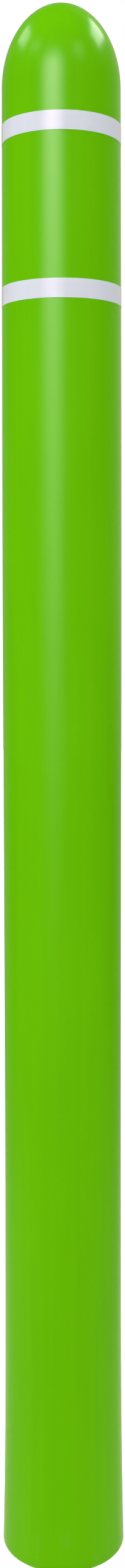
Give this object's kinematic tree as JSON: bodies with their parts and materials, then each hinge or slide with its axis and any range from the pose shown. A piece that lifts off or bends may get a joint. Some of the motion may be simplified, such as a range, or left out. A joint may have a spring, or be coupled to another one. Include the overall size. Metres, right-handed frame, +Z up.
{
  "type": "delineator post",
  "caption": "Tall round plastic post sleeve with a domed top and reflective bands, over a steel pipe that drops on to a bolted spigot foot.",
  "frame": {"origin": "centre of the foot plate's underside, on the ground", "axes": "+Z up along the post's axis; the front faces -Y, and the laps of the tape face +Y"},
  "size_m": [0.1276, 0.1279, 1.626],
  "materials": {
    "sleeve_plastic": "satin gloss, moulded polyethylene",
    "reflective_tape": "glossy metallised retroreflective film",
    "galvanised_steel": "hot-dip galvanised, dull",
    "cap_plastic": "matt black polyethylene",
    "foam": "closed-cell foam, charcoal",
    "screw_steel": "black oxide, oiled"
  },
  "bodies": {
    "foot": {"foot_plate": "galvanised_steel", "spigot_tube": "galvanised_steel", "spigot_weld": "galvanised_steel"},
    "core": {"core_pipe": "galvanised_steel", "upper_foam_ring": "foam", "lower_foam_ring": "foam"},
    "cap": {"pipe_cap": "cap_plastic"},
    "screw_1": {"lock_screw_1": "screw_steel"},
    "screw_2": {"lock_screw_2": "screw_steel"},
    "screw_3": {"lock_screw_3": "screw_steel"},
    "cover": {"sleeve": "sleeve_plastic", "upper_band": "reflective_tape", "lower_band": "reflective_tape"}
  },
  "joints": [
    {"name": "post_lift", "type": "slide", "parent": "foot", "child": "core", "axis": [0, 0, 1], "range_m": [0, 0.16]},
    {"name": "sleeve_lift", "type": "slide", "parent": "core", "child": "cover", "axis": [0, 0, 1], "range_m": [0, 1.53], "deforming": ["upper_foam_ring", "lower_foam_ring"]},
    {"name": "cap_lift", "type": "slide", "parent": "core", "child": "cap", "axis": [0, 0, 1], "range_m": [0, 0.03]},
    {"name": "screw_1_turn", "type": "slide", "parent": "core", "child": "screw_1", "axis": [0, 1, 0], "range_m": [0, 0.0015]},
    {"name": "screw_2_turn", "type": "slide", "parent": "core", "child": "screw_2", "axis": [-0.866, -0.5, 0], "range_m": [0, 0.0015]},
    {"name": "screw_3_turn", "type": "slide", "parent": "core", "child": "screw_3", "axis": [0.866, -0.5, 0], "range_m": [0, 0.0015]}
  ]
}
